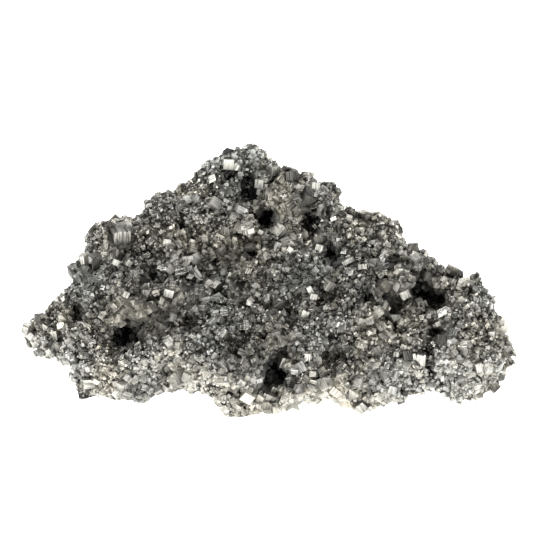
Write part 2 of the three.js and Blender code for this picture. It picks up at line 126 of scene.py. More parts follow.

# Hollows in the crust, pushed in and darkened with painted shade, in millimetres as they are seen: right of
# the picture's middle, above it, half width, half height, and turn in degrees.
HOLLOWS = [
    (-34.2, -17.2, 3.0, 2.7, 0),
    (2.4, -26.0, 3.4, 2.0, -8),
    (6.5, -30.0, 1.2, 1.5, 0),
    (36.7, -1.8, 1.5, 2.2, 0),
    (36.4, -5.8, 1.7, 1.7, 0),
    (40.4, -7.3, 2.5, 2.2, 0),
    (42.8, -1.8, 0.7, 1.5, 0),
    (25.0, -7.3, 2.0, 1.7, 0),
    (29.8, -10.5, 3.0, 1.5, -35),
    (11.0, 9.7, 2.2, 3.0, 0),
    (15.0, 4.6, 1.0, 3.2, 30),
    (-0.8, 11.6, 1.3, 0.7, -25),
    (1.4, 10.7, 1.3, 0.6, 10),
    (-5.0, 20.9, 1.3, 1.3, 0),
    (-9.3, 23.2, 1.7, 0.8, -15),
    (-4.6, 3.1, 2.0, 1.0, 0),
    (-13.0, 1.4, 2.2, 1.4, 0),
    (11.5, -4.6, 2.0, 1.0, 0),
    (0.9, -10.0, 2.0, 1.0, 0),
    (5.5, -11.7, 1.8, 1.4, -30),
    (-6.8, -21.6, 1.7, 1.1, 0),
    (4.6, -22.4, 0.8, 1.3, 0),
    (-24.6, -12.7, 1.7, 1.8, 0),
    (-18.6, -14.5, 2.3, 1.1, 0),
    (-18.2, -8.0, 2.0, 1.0, 0),
    (-46.6, -11.5, 1.1, 1.3, 0),
    (-40.4, -12.2, 0.8, 0.8, 0),
    (40.2, -21.5, 1.0, 5.0, 6),
    (40.6, -25.6, 1.5, 1.8, 0),
    (34.2, -31.5, 1.2, 1.0, 0),
    (41.1, -16.7, 1.1, 0.9, -30),
    (43.8, -16.4, 1.0, 0.7, 0),
    (54.7, -18.6, 1.7, 0.8, 0),
    (-30.5, -3.3, 0.9, 1.0, 0),
    (-29.3, 3.8, 3.2, 0.6, 5),
    (-37.9, -7.3, 1.5, 0.7, -20),
    (16.2, -17.9, 1.0, 1.2, 0),
    (14.9, -22.4, 1.6, 1.3, 0),
    (20.6, -22.4, 1.3, 1.2, 0),
    (24.3, -22.1, 1.3, 1.0, 0),
    (-9.0, -31.7, 1.3, 0.8, -30),
    (-12.5, -30.8, 1.5, 0.8, 0),
    (-0.6, -16.9, 1.2, 1.0, 0),
    (-15.2, -17.2, 1.2, 1.0, 0),
    (26.3, 7.0, 0.8, 1.0, 0),
    (31.2, 2.3, 1.2, 1.0, 0),
    (-21.1, 10.2, 1.3, 0.8, 0),
    (-42.9, -0.6, 1.3, 0.7, 0),
]
HOLLOW_GROWN = 0.2  # how much wider each is made, in millimetres, for the crystals that lean over it
HOLLOW_EDGE = {"full": 0.5, "end": 1.2}  # where a hollow's painted shade is full and where it ends, in its half sizes
# How far a hollow's edge strays, in its half sizes, and over what length.
HOLLOW_RAGGED = {"change": 0.7, "patch": 1.6 * MM}
GLINTS = 0.12  # the share of crystals in the painted shade that are spared from it, so that they still catch the light
HOLLOW_DEPTH = 1.1  # in its smaller half size
HOLLOW_SHADE = 0.93  # how much painted shade the crystals in it get
BARE = 0.5  # the share of crystals missing from it

# Crystals that stand out, in millimetres as they are seen: right of the picture's middle, above it,
# width, depth and height; then turns in degrees about the upright, forwards and within the picture,
# how light it is from 0 to 1, and whether it is built of plates.
LANDMARKS = [
    (-45.0, 1.5, 1.6, 2.4, 3.6, -25, 5, 0, 0.95, True),
    (-42.3, 1.4, 3.0, 3.0, 3.6, 35, 0, 0, 0.15, True),
    (-36.0, 7.4, 4.2, 4.2, 4.2, 20, 0, 0, 0.45, True),
    (-35.6, 9.9, 4.8, 2.6, 0.8, 8, 10, -6, 0.8, False),
    (-9.5, 25.2, 2.6, 2.0, 2.4, 12, -12, 8, 0.85, False),
    (-7.4, 24.6, 1.3, 1.3, 1.5, -20, -13, 30, 0.7, False),
    (-1.6, 20.4, 2.1, 2.2, 2.1, -14, -14, 3, 0.55, False),
    (2.0, 23.6, 2.2, 2.2, 2.3, 24, -15, 0, 0.8, True),
    (6.2, 22.3, 3.0, 2.6, 2.6, 8, -24, 0, 0.25, True),
    (3.3, 8.8, 2.3, 2.4, 3.0, 28, 0, 42, 0.6, True),
    (-5.8, 9.5, 1.0, 1.0, 1.0, 10, -12, 10, 0.8, False),
    (-3.9, 8.8, 1.6, 1.4, 1.2, 14, -13, -12, 0.9, False),
    (-1.4, 8.5, 1.2, 1.2, 1.1, -16, -14, 24, 0.85, False),
    (2.6, 5.2, 1.8, 1.8, 1.7, 12, -15, 20, 0.75, False),
    (5.8, 4.3, 1.3, 1.3, 1.3, -12, -12, 35, 0.85, False),
    (-18.6, 6.0, 1.5, 1.5, 1.6, 14, -13, 30, 0.9, False),
    (-24.8, 6.0, 1.9, 1.8, 1.7, 18, -14, 15, 0.75, False),
    (-36.9, 1.1, 1.7, 1.6, 1.4, -10, -15, 20, 0.7, False),
    (-34.0, 0.9, 1.4, 1.4, 1.4, 15, -12, 40, 0.7, False),
    (-30.0, -6.5, 2.0, 2.0, 2.4, 22, 0, 10, 0.5, False),
    (-23.8, -6.5, 2.3, 2.0, 1.8, -15, -13, 10, 0.65, False),
    (-34.7, -6.8, 1.5, 1.5, 1.4, 12, -14, 30, 0.75, False),
    (-19.4, 1.9, 2.6, 1.6, 1.5, 5, -15, -4, 0.5, False),
    (-14.2, -4.6, 2.2, 1.8, 1.7, 25, -4, -30, 0.5, False),
    (9.3, -11.7, 1.8, 1.8, 2.0, 10, -12, 25, 0.95, True),
    (10.7, -5.8, 1.2, 1.4, 1.9, 10, -13, -25, 0.7, False),
    (11.5, -7.3, 1.8, 1.4, 1.3, 5, -14, 15, 0.55, False),
    (20.1, 1.4, 3.0, 1.6, 1.3, 10, -15, -25, 0.45, True),
    (23.6, 0.1, 2.0, 1.4, 1.2, 4, -12, -4, 0.5, False),
    (12.7, 4.8, 1.9, 1.6, 1.4, 12, -13, 20, 0.5, False),
    (15.2, -4.6, 2.6, 2.6, 2.5, 24, 0, 35, 0.5, False),
    (31.7, -12.5, 2.6, 1.8, 1.6, -6, -14, -4, 0.75, False),
    (34.0, -6.8, 2.3, 2.2, 2.0, 12, -15, -25, 0.5, False),
    (39.4, -2.1, 2.4, 2.4, 2.3, 24, 0, 20, 0.45, False),
    (39.0, -4.8, 1.9, 1.8, 1.9, 10, -12, 40, 0.6, False),
    (15.6, -25.6, 1.7, 1.7, 1.8, 10, 4, 5, 0.6, False),
    (-43.6, -28.4, 2.4, 2.6, 3.2, 4, 0, 87, 0.6, True),
    (1.4, -30.6, 1.2, 1.6, 2.8, 10, 2, 28, 0.7, False),
    (35.6, -22.0, 1.9, 1.8, 1.9, 8, 4, -10, 0.5, False),
    (38.0, -22.8, 2.2, 1.8, 3.2, -8, 2, 2, 0.7, True),
    (34.5, -21.9, 2.3, 2.0, 2.2, 20, -30, 0, 0.25, False),
    (45.7, -0.9, 2.4, 2.4, 2.3, 30, 0, 30, 0.75, True),
    (23.1, -34.5, 2.6, 2.6, 2.6, 10, 0, -40, 0.4, True),
    (55.2, -16.7, 1.5, 1.5, 2.1, 10, 0, 0, 0.5, False),
    (52.2, -24.6, 1.6, 1.6, 2.3, 8, 0, -15, 0.55, False),
    (42.9, -18.2, 2.8, 2.6, 2.4, 0, -30, 10, 0.2, False),
    (-45.0, -31.0, 3.2, 3.0, 2.4, 6, 0, 4, 0.8, False),
    (-58.4, -18.8, 3.0, 2.8, 3.0, 20, 0, 10, 0.6, False),
    (-58.4, -15.4, 2.6, 2.4, 2.6, 40, 0, 20, 0.5, False),
    (4.0, -22.6, 2.6, 6.0, 2.6, 15, 0, 20, 0.5, False),
    (1.2, -31.5, 3.4, 6.0, 2.6, -10, 0, 20, 0.4, False),
]
LANDMARK_AROUND = 0.9 * MM  # a landmark is held to the height of the skin as near to it as this
LANDMARK_RAISED = 0.75 * MM  # how far its centre would lie above that, if it had no depth
LANDMARK_SUNK = 0.35  # how much less, in its depth
LANDMARK_SHIFT = 2.5 * MM  # how far it may stand aside from the skin under it
LANDMARK_FACING = 0.2  # how far the skin under it has to face the camera
LANDMARK_NEAREST = 1.1  # where no skin is so near: how much farther than the nearest it may lie
LANDMARK_DULLNESS = 0.55
CLEARED = 0.3  # how much of a crystal's reach may not overlap the sight of a landmark

# Where the solid's shape is corrected, in millimetres as it is seen: right of the picture's
# middle, above it, and the shift to the right and upwards there.
SHIFTS = [
    (-50.5, -0.9, 2.4, -1.2),
    (-52.0, -5.3, 1.6, -1.0),
    (-57.2, -12.4, 0.2, 1.4),
    (-58.4, -19.8, -0.5, -2.1),
    (-54.5, -22.6, 0, 1.0),
    (-46.1, -29.5, -1.0, -3.0),
    (-25.1, -32.2, 0, 1.6),
    (-18.9, -33.0, 0, 2.9),
    (-13.8, -33.8, 0.6, 2.0),
    (-1.1, -36.4, 0, 0.9),
    (3.8, -36.4, 0, 1.9),
    (8.8, -34.9, 0, 1.8),
    (33.5, -31.7, 0, -1.0),
    (38.9, -31.5, 0, 1.4),
    (46.6, -32.0, 0, -1.2),
    (57.7, -9.5, -1.0, -0.8),
    (59.7, -15.2, -1.2, -0.6),
    (59.7, -25.1, 1.0, -0.3),
    (57.5, -29.5, -1.2, 0.6),
    (48.6, -2.5, 0.5, 1.2),
    (41.4, 2.6, -0.7, -1.5),
    (38.4, 5.3, 0, -0.6),
    (32.5, 11.0, -0.3, -0.9),
    (19.4, 16.9, -1.0, -0.8),
    (15.2, 20.9, 0, 0.9),
    (11.2, 23.1, 0, -1.4),
    (6.5, 24.1, 0, 1.0),
    (0.9, 26.3, 0.6, 0.8),
    (-1.1, 27.5, 1.3, 0.6),
    (-4.8, 30.8, 0, -1.2),
    (-7.6, 28.8, 0, 1.1),
    (-13.0, 28.0, 0.5, -0.8),
    (-16.4, 24.3, -0.4, 0.9),
    (-20.8, 21.3, 0, -1.4),
    (-27.0, 17.4, -0.4, 1.6),
    (-41.5, 10.8, 0, -0.4),
    (-46.1, 4.1, 0.7, -0.4),
    (-0.9, 13.0, 1.7, -2.0),
]
SHIFT_REACH = 2.6 * MM  # how far a shift spreads

# Where the crust as a whole is lighter or darker, in millimetres as it is seen: right of the picture's
# middle, above it, half width, half height, and how much lighter from -1 to 1.
PATCHES = [
    (47.5, -16.9, 8, 6, 0.5),
    (59.9, -20.6, 3, 4, 0.6),
    (48.3, -24.0, 6, 4, 0.2),
    (39.0, -20.0, 4, 4, 0.5),
    (40.5, -2.5, 6, 5, 0.6),
    (55.9, -29.5, 4, 4, -0.45),
    (27.8, -25.1, 4, 4, -0.3),
    (19.4, -20.4, 3.5, 5, -0.5),
    (24.0, -6.0, 3, 7, -0.45),
    (11.2, -6.0, 8, 3, -0.6),
    (16.9, 17.7, 4, 4, -0.3),
    (1.6, -18.4, 5, 4, -0.45),
    (-5.3, -23.3, 5, 4, -0.4),
    (0.6, -0.9, 4, 4, -0.3),
    (-11.2, 0.1, 4.5, 5, -0.45),
    (-17.9, -8.0, 4, 5, -0.3),
    (-2.6, 15.2, 4, 5, 0.3),
    (-2.0, 23.0, 7, 5, 0.3),
    (-14.5, 15.2, 4.5, 6, 0.65),
    (-28.0, -0.1, 4, 3, 0.5),
    (-31.0, -7.5, 8, 3, -0.5),
    (-42.9, 8.5, 6, 4, -0.3),
    (-47.5, -2.1, 4, 5, -0.45),
    (-20.5, -16.7, 6, 3, 0.5),
    (-49.5, -15.0, 5, 4, 0.5),
    (-42.0, -24.5, 6, 5, 0.5),
    (-29.5, -31.2, 8, 3.5, -0.4),
    (0.5, -31.5, 5, 3, 0.8),
    (12.2, -28.0, 5, 4, 0.3),
    (-14.0, -31.0, 5, 4, 0.3),
    (48.5, -28.5, 6, 4, 0.3),
    (-34.0, 2.0, 4, 4, -0.5),
    (-45.5, -31.0, 3, 3, 0.4),
    (35.0, -9.0, 5, 4, 0.4),
    (24.5, -16.5, 4, 4, 0.4),
    (25.0, -34.0, 4, 3, 0.4),
]
PATCH_SHADE = 0.6  # how much of a darker patch's change is shade

# Looks of the materials, with colours as red, green, blue and alpha.
DEEP_SHADE = (0.02, 0.019, 0.017, 1)
GRAIN = {"scale": 900, "detail": 6, "strength": 0.6, "height": 0.3 * MM}
GRAIN_SURFACE = {"Metallic": 0.8, "Roughness": 0.5}
GRAIN_COLOURS = [(0.35, (0.05, 0.048, 0.042, 1)), (0.7, (0.3, 0.29, 0.25, 1))]
LIGHTNESS_COLOURS = [(0, (0.33, 0.326, 0.308, 1)), (1, (0.86, 0.842, 0.785, 1))]
WARMTH_COLOURS = [(0, (0.95, 0.98, 1.0, 1)), (1, (1.0, 0.97, 0.89, 1))]
GROOVE_SHADE_COLOURS = [(0.38, (0.24, 0.23, 0.21, 1)), (0.55, (1, 1, 1, 1))]  # painted shade in the grooves, from the grooves' bottom up
GROOVE_SHADE = {"start": 0.5, "from": 1, "to": 0.3}  # how strong the painted shade in the grooves is: light crystals get less of it
ROUGHNESS = {"start": 0, "from": 0.08, "to": 0.45}  # of smooth and of dull crystals
METALLIC = {"start": 0.5, "from": 1, "to": 0.45}  # the least where crystals are dull
GLOSS = 0.2
GROOVES = {"scale": (3.2, 0.3, 1), "detail": 3, "strength": 1, "height": 0.2 * MM}  # finer across than along
LINES_SHIFT = 60  # how far one crystal's growth lines may lie from another's, in millimetres

# Studio: how bright the sky is from level to straight up, the paper, and the lamps with their places and
# sizes in metres and their power in watts.
SKY_COLOURS = [(0.1, (1.0, 1.0, 1.0, 1)), (0.18, (0.2, 0.2, 0.205, 1)), (0.55, (0.04, 0.04, 0.042, 1))]
SKY_STRENGTH = 2.62
FLOOR_HALF = 3
PAPER = {
    "Base Color": (0.92, 0.92, 0.92, 1),
    "Roughness": 0.9,
    "Specular IOR Level": 0.1,
    "Emission Color": (1, 1, 1, 1),
    "Emission Strength": 1.56,
}
LAMPS_AIM = Vector((0, 0, 0.02))
LAMPS = [
    ("key", (-0.6, 0.35, 0.85), (0.95, 0.95), 8.2),
    ("fill", (0.75, -0.3, 0.75), (0.65, 0.65), 2.7),
    ("front", (0.1, -0.6, 1.0), (0.4, 0.4), 1.1),
    ("back", (0.35, 0.9, 0.5), (0.8, 0.4), 2.4),
]

rng = np.random.default_rng(SEED)


def linked(piece):
    """The object, put into the scene."""
    bpy.context.scene.collection.objects.link(piece)
    return piece


def make_camera():
    camera = linked(bpy.data.objects.new("camera", bpy.data.cameras.new("camera")))
    camera.location = AIM + VIEW * DISTANCE
    camera.rotation_mode = "QUATERNION"
    camera.rotation_quaternion = (-VIEW).to_track_quat("-Z", "Y")
    camera.data.lens = LENS
    camera.data.clip_start, camera.data.clip_end = SIGHT
    bpy.context.scene.camera = camera


def new_mesh_object(name, points, faces, material):
    """An object from an array of points and an array of faces of one length."""
    mesh = bpy.data.meshes.new(name)
    mesh.vertices.add(len(points))
    mesh.vertices.foreach_set("co", np.ascontiguousarray(points, np.float32).ravel())
    sides = faces.shape[1]
    mesh.loops.add(faces.size)
    mesh.loops.foreach_set("vertex_index", np.ascontiguousarray(faces, np.int32).ravel())
    mesh.polygons.add(len(faces))
    mesh.polygons.foreach_set("loop_start", np.arange(0, faces.size, sides, dtype=np.int32))
    mesh.update(calc_edges=True)
    mesh.shade_flat()
    mesh.materials.append(material)
    return linked(bpy.data.objects.new(name, mesh))


def vectors_of(mesh, kind):
    """The places or the normals of a mesh's points."""
    values = np.empty(len(mesh.vertices) * 3)
    mesh.vertices.foreach_get(kind, values)
    return values.reshape(-1, 3)


def corner_numbers(mesh):
    """The numbers of the points at the corners of each triangle of a mesh."""
    mesh.calc_loop_triangles()
    corners = np.empty(len(mesh.loop_triangles) * 3, np.int32)
    mesh.loop_triangles.foreach_get("vertices", corners)
    return corners.reshape(-1, 3)


def triangles_of(mesh):
    """The places of the corners of each triangle of a mesh."""
    return vectors_of(mesh, "co")[corner_numbers(mesh)]


def normals_of(corners):
    """The normal of each triangle, twice as long as its area."""
    return np.cross(corners[:, 1] - corners[:, 0], corners[:, 2] - corners[:, 0])


def outward_of(corners):
    """The normal of each triangle, of length 1."""
    across = normals_of(corners)
    return across / np.linalg.norm(across, axis=1)[:, None]


def surface_points(corners, count):
    """Points spread evenly over triangles, but thinner on the underside, and the triangle of each."""
    across = normals_of(corners)
    area = np.linalg.norm(across, axis=1)
    area *= np.where(across[:, 2] < -UNDERSIDE["dip"] * area, UNDERSIDE["share"], 1)
    chosen = rng.choice(len(area), count, p=area / area.sum())
    s, t = np.sqrt(rng.random(count))[:, None], rng.random(count)[:, None]
    a, b, c = corners[chosen].transpose(1, 0, 2)
    points = a * (1 - s) + b * s * (1 - t) + c * s * t
    return points, chosen


def between(values, start, end):
    """How far values have gone from start, where this is 0, to end, where it is 1."""
    return np.clip((values - start) / (end - start), 0, 1)


def noise_at(points, size):
    """Smooth noise at each of the points, with patches of about this size."""
    return np.array([noise.noise(Vector(point / size)) for point in points])


def in_picture(points):
    """Where points are seen, right of and above the picture's middle, and how near the camera they are."""
    away = points - np.array(AIM)
    near = away @ np.array(VIEW)
    scale = DISTANCE / (DISTANCE - near)
    return away[:, 0] * scale, away @ np.array(UP) * scale, near


# Skin

def shifted(points):
    """Points moved in the picture by the shifts near them."""
    across, up, _ = in_picture(points)
    total, moves = np.zeros(len(points)), np.zeros((len(points), 3))
    for x, y, right, above in SHIFTS:
        away = np.hypot(across - x * MM, up - y * MM) / SHIFT_REACH
        weight = np.exp(-away ** 2 / 2)
        total += weight
        moves += weight[:, None] * (Vector((right, 0, 0)) + above * UP) * MM
    return points + moves / np.maximum(total, 1)[:, None]


def off_floor(points):
    """Points with those under the floor moved up to it along the line of sight."""
    return points + np.maximum(-points[:, 2], 0)[:, None] / VIEW.z * np.array(VIEW)


def in_hollows(points):
    """How much painted shade the hollows put on each point, from 0 to 1, and how deep they push it in."""
    across, up, _ = in_picture(points)
    dark, depth = np.zeros(len(points)), np.zeros(len(points))
    ragged = noise_at(points, HOLLOW_RAGGED["patch"])
    ragged *= HOLLOW_RAGGED["change"]
    for x, y, half_width, half_height, turn in HOLLOWS:
        half_width, half_height = half_width + HOLLOW_GROWN, half_height + HOLLOW_GROWN
        cos, sin = math.cos(math.radians(turn)), math.sin(math.radians(turn))
        right, above = across / MM - x, up / MM - y
        away = np.hypot((right * cos + above * sin) / half_width, (above * cos - right * sin) / half_height)
        away += ragged
        inside = between(away, HOLLOW_EDGE["end"], HOLLOW_EDGE["full"])
        dark = np.maximum(dark, inside)
        depth = np.maximum(depth, inside * min(half_width, half_height) * HOLLOW_DEPTH * MM)
    return dark, depth


def clump_tree(corners):
    """Clumps' middles, spread over triangles, for finding the nearest."""
    seeds, _ = surface_points(corners, CLUMPS)
    tree = KDTree(CLUMPS)
    for number, seed in enumerate(seeds):
        tree.insert(seed, number)
    tree.balance()
    return tree


def in_clumps(points, corners):
    """Each point's clump, its height over the solid, and how far it is in a crevice, from 0 to 1."""
    tree = clump_tree(corners)
    heights = rng.uniform(*CLUMP_HEIGHT, CLUMPS)
    clump, gap = np.empty(len(points), int), np.empty(len(points))
    for number, point in enumerate(points):
        (_, clump[number], near), (_, _, far) = tree.find_n(point, 2)
        gap[number] = max(0.0, 1 - (far - near) / CREVICE["width"])
    openness = CREVICE_PATCH["open"] + CREVICE_PATCH["change"] * noise_at(points, CREVICE_PATCH["size"])
    gap *= np.clip(openness, 0, 1)
    relief = SKIN_RELIEF["height"] * noise_at(points, SKIN_RELIEF["width"])
    return clump, heights[clump] - CREVICE["depth"] * gap + relief, gap


def paleness(clump, normals):
    """How pale each point's clump is, as painted light, from 0 where it faces up to 1 where it faces
    sideways or down.
    """
    facing = np.zeros((CLUMPS, 3))
    np.add.at(facing, clump, normals)
    rise = facing[:, 2] / np.maximum(np.linalg.norm(facing, axis=1), SMALLEST_SUM)
    return between(rise, PALE["none"], PALE["full"])[clump]


def hollowness(mesh):
    """The share of blocked rays at each point of a mesh, from 0 in the open to 1 at the bottom of a pit."""
    points = [v.co for v in mesh.vertices]
    tree = BVHTree.FromPolygons(points, [tuple(p.vertices) for p in mesh.polygons])
    ways = rng.standard_normal((SHADE_RAYS["number"], 3))
    ways /= np.linalg.norm(ways, axis=1)[:, None]
    ways = [Vector(way) for way in ways]
    hits = np.zeros(len(points))
    for number, vertex in enumerate(mesh.vertices):
        start = vertex.co + vertex.normal * SHADE_RAYS["start"]
        for way in ways:
            toward = way if way.dot(vertex.normal) > 0 else -way
            hits[number] += tree.ray_cast(start, toward, SHADE_RAYS["reach"])[0] is not None
    return hits / SHADE_RAYS["number"]


def remeshed(solid):
    """A fine and even mesh of the solid's surface."""
    rough = linked(bpy.data.objects.new("remeshing", solid.data.copy()))
    remesh = rough.modifiers.new("remesh", "REMESH")
    remesh.mode = "VOXEL"
    remesh.voxel_size = VOXEL
    graph = bpy.context.evaluated_depsgraph_get()
    mesh = bpy.data.meshes.new_from_object(rough.evaluated_get(graph))
    bpy.data.objects.remove(rough)
    return mesh


def set_values(mesh, **values):
    """Gives each point of a mesh its values, by name."""
    for name, numbers in values.items():
        mesh.attributes.new(name, "FLOAT", "POINT").data.foreach_set("value", numbers)


def make_skin(solid, material):
    """The solid's surface, remeshed finely and roughened, under the crystals."""
    mesh = remeshed(solid)
    points, normals = vectors_of(mesh, "co"), vectors_of(mesh, "normal")
    clump, height, crevice = in_clumps(points, triangles_of(mesh))
    height *= between(points[:, 2], 0, FOOT)
    dark, depth = in_hollows(points)
    facing = normals @ np.array(VIEW) > 0
    points = points + normals * height[:, None] - np.array(VIEW) * (depth * facing)[:, None]
    mesh.vertices.foreach_set("co", off_floor(shifted(points)).ravel())
    mesh.materials.clear()
    mesh.materials.append(material)
    mesh.update()
    mesh.shade_flat()
    dark *= facing
    # Painted shade, where rays are blocked and in the listed hollows; the crystals grown here take it up
    # too.
    hollow = np.maximum(between(hollowness(mesh), SHUT_IN["start"], SHUT_IN["full"]), dark)
    shade = SKIN_SHADE + (1 - SKIN_SHADE) * hollow
    bare = np.maximum(crevice, dark)
    set_values(mesh, hollow=hollow, bare=bare, shade=shade, pale=paleness(clump, normals))
    return linked(bpy.data.objects.new("pyrite_skin", mesh))


# Crystal forms, each as its points and its triangles

def hull(points):
    """The convex hull of a few points: its points and its triangles, facing outwards."""
    form = bmesh.new()
    for point in points:
        form.verts.new(point)
    bmesh.ops.convex_hull(form, input=form.verts)
    bmesh.ops.triangulate(form, faces=form.faces)
    form.verts.index_update()
    bmesh.ops.recalc_face_normals(form, faces=form.faces)
    found = np.array([v.co[:] for v in form.verts])
    faces = np.array([[v.index for v in f.verts] for f in form.faces])
    form.free()
    return found, faces


def signs():
    return [(a, b, c) for a in (-1, 1) for b in (-1, 1) for c in (-1, 1)]


def cyclic(a, b, c):
    return [(a, b, c), (c, a, b), (b, c, a)]


def cube_points(half):
    return [(half * a, half * b, half * c) for a, b, c in signs()]


def truncated_cube():
    """A cube with its corners cut off."""
    half, edge = TRUNCATED_CUBE["half"], TRUNCATED_CUBE["edge"]
    return hull(sorted(point for a, b, c in signs() for point in cyclic(half * a, half * b, edge * c)))


def pyritohedron():
    """Twelve pentagons: a cube with a ridge over each of its faces."""
    half = PYRITOHEDRON["cube"]
    far, aside = (half * share for share in PYRITOHEDRON["ridge"])
    points = cube_points(half)
    for a in (-1, 1):
        for b in (-1, 1):
            points += cyclic(0, a * far, b * aside)
    return hull(points)


def octahedron():
    return hull([point for end in (-OCTAHEDRON_REACH, OCTAHEDRON_REACH) for point in cyclic(end, 0, 0)])


def forms():
    """The forms, in the order of their shares."""
    return [hull(cube_points(CUBE_HALF)), truncated_cube(), pyritohedron(), octahedron()]


# Crust of crystals

def random_turns(count):
    """Even random turns, as rotation matrices."""
    a, b, c = rng.random(count), rng.random(count) * 2 * np.pi, rng.random(count) * 2 * np.pi
    x, y = np.sqrt(1 - a) * np.sin(b), np.sqrt(1 - a) * np.cos(b)
    z, w = np.sqrt(a) * np.sin(c), np.sqrt(a) * np.cos(c)
    return np.stack([
        1 - 2 * (y * y + z * z), 2 * (x * y - z * w), 2 * (x * z + y * w),
        2 * (x * y + z * w), 1 - 2 * (x * x + z * z), 2 * (y * z - x * w),
        2 * (x * z - y * w), 2 * (y * z + x * w), 1 - 2 * (x * x + y * y),
    ], 1).reshape(-1, 3, 3)


def values_on(mesh, name, chosen):
    """A value of the mesh's points, averaged over each of the chosen triangles."""
    values = np.empty(len(mesh.vertices))
    mesh.attributes[name].data.foreach_get("value", values)
    return values[corner_numbers(mesh)].mean(1)[chosen]


def patches_at(points):
    """How much lighter or darker the patches make crystals at these points."""
    across, up, _ = in_picture(points)
    change = np.zeros(len(points))
    for x, y, half_width, half_height, lighter in PATCHES:
        away = np.hypot((across / MM - x) / half_width, (up / MM - y) / half_height)
        change += lighter * np.exp(-away ** 2)
    return np.clip(change, -1, 1)


def tone_and_shade_on(mesh, points, chosen):
    """Lightness with painted light on sideways and downward clumps, warmth, dullness and painted shade of a
    crystal at each of the points on the chosen triangles.
    """
    count = len(chosen)
    single = rng.uniform(-WARMTH["single"], WARMTH["single"], count)
    warmth = WARMTH["middle"] + WARMTH["patch"] * noise_at(points, WARM_PATCH) + single
    # Painted light: crystals on clumps that face sideways or down are lighter, and duller as well.
    pale = values_on(mesh, "pale", chosen)
    light, dull = PALE_GAIN["lightness"] * pale, PALE_GAIN["dullness"] * pale
    lightness = light + (1 - light) * rng.beta(*LIGHTNESS_SPREAD, count)
    change = patches_at(points)
    lightness += change * np.where(change > 0, 1 - lightness, lightness)
    dullness = dull + (1 - dull) * rng.random(count)
    # Painted shade from the hollows and from darker patches.
    shade = np.maximum(HOLLOW_SHADE * values_on(mesh, "hollow", chosen), -PATCH_SHADE * change)
    shade *= rng.random(count) > GLINTS
    return np.column_stack([lightness, np.clip(warmth, 0, 1), dullness, shade])


class Crust:
    """Crystals, in rows of columns: each one's centre, turn, sizes along its own axes, habit, tone and
    painted-shade values, and the place and the direction of the skin that it grew on."""

    def __init__(self):
        self.rows = []

    def add(self, *columns):
        self.rows.append(columns)

    def columns(self):
        return [np.concatenate(parts) for parts in zip(*self.rows)]

    def open_before(self, others):
        """Leaves out the crystals that stand before the other crust's rows of crystals."""
        columns = self.columns()
        across, up, near = in_picture(columns[0])
        reach = columns[2].mean(1) / 2
        clear = np.ones(len(reach), bool)
        for row in others.rows:
            rights, aboves, nears = in_picture(row[0])
            half = np.ptp(rights) / 2 + row[2].mean() / 2
            away = np.hypot(across - rights.mean(), up - aboves.mean())
            clear &= (away > half + reach * CLEARED) | (near + reach < nears.mean())
        self.rows = [[column[clear] for column in columns]]

    def inside(self):
        """The columns of the crystals that stay near the solid's box and off the floor."""
        columns = self.columns()
        centres, _, sizes = columns[:3]
        reach = np.linalg.norm(sizes, axis=1, keepdims=True) / 2
        low, high = np.array(CAD_BOX[0]) - OUTSIDE, np.array(CAD_BOX[1]) + OUTSIDE
        keep = (centres - reach > low).all(1) & (centres + reach < high).all(1)
        keep &= centres[:, 2] > reach[:, 0]
        return [column[keep] for column in columns]


def single_sizes(points):
    """Random sizes for crystals at the points, larger in some patches of the crust than in others."""
    count = len(points)
    coarse = rng.random(count) < COARSE["share"]
    middle = np.where(coarse, COARSE["middle"], FINE["middle"])
    spread = np.where(coarse, COARSE["spread"], FINE["spread"])
    sizes = middle * np.exp(spread * rng.standard_normal(count))
    return np.clip(sizes * np.exp(SIZE_CHANGE * noise_at(points, SIZE_PATCH)), *CRYSTAL_LIMITS)


def add_single(crust, mesh, corners):
    """Crystals on their own, each turned at random."""
    points, chosen = surface_points(corners, CRYSTALS)
    kept = rng.random(CRYSTALS) > BARE * values_on(mesh, "bare", chosen)
    points, chosen = points[kept], chosen[kept]
    count = len(points)
    outward = outward_of(corners[chosen])
    sizes = single_sizes(points)
    habits = rng.choice(len(HABIT_SHARES), count, p=HABIT_SHARES)
    stretch = np.where((habits == 0)[:, None], rng.uniform(*CRYSTAL_STRETCH, (count, 3)), 1)
    centres = points + outward * (sizes * rng.uniform(*CRYSTAL_RAISED, count))[:, None]
    tone_and_shade = tone_and_shade_on(mesh, points, chosen)
    crust.add(centres, random_turns(count), sizes[:, None] * stretch, habits, tone_and_shade, points, outward)


def cubes_in(crust, block, offsets, members):
    """Adds the members of each block, placed by their offsets from its centre along its own axes."""
    places, turns, tone_and_shade, roots, outward = block
    count = offsets.shape[1]
    centres = places[:, None] + np.einsum("nij,nkj->nki", turns, offsets)
    tone_and_shade = np.repeat(tone_and_shade, count, 0)
    change = rng.uniform(-MEMBER_LIGHTNESS, MEMBER_LIGHTNESS, len(tone_and_shade))
    tone_and_shade[:, 0] = np.clip(tone_and_shade[:, 0] + change, 0, 1)
    crust.add(centres.reshape(-1, 3), np.repeat(turns, count, 0), members.reshape(-1, 3),
              np.zeros(len(tone_and_shade), int), tone_and_shade, np.repeat(roots, count, 0), np.repeat(outward, count, 0))


def add_parallel(crust, block, sizes):
    """Parallel cubes grown into one another."""
    shape = (len(sizes), GROUP_MEMBERS)
    offsets = rng.uniform(-PARALLEL["aside"], PARALLEL["aside"], (*shape, 3)) * sizes[:, None]
    members = rng.uniform(*PARALLEL["size"], (*shape, 1)) * rng.uniform(*PARALLEL["stretch"], (*shape, 3))
    cubes_in(crust, block, offsets, members * sizes[:, None])


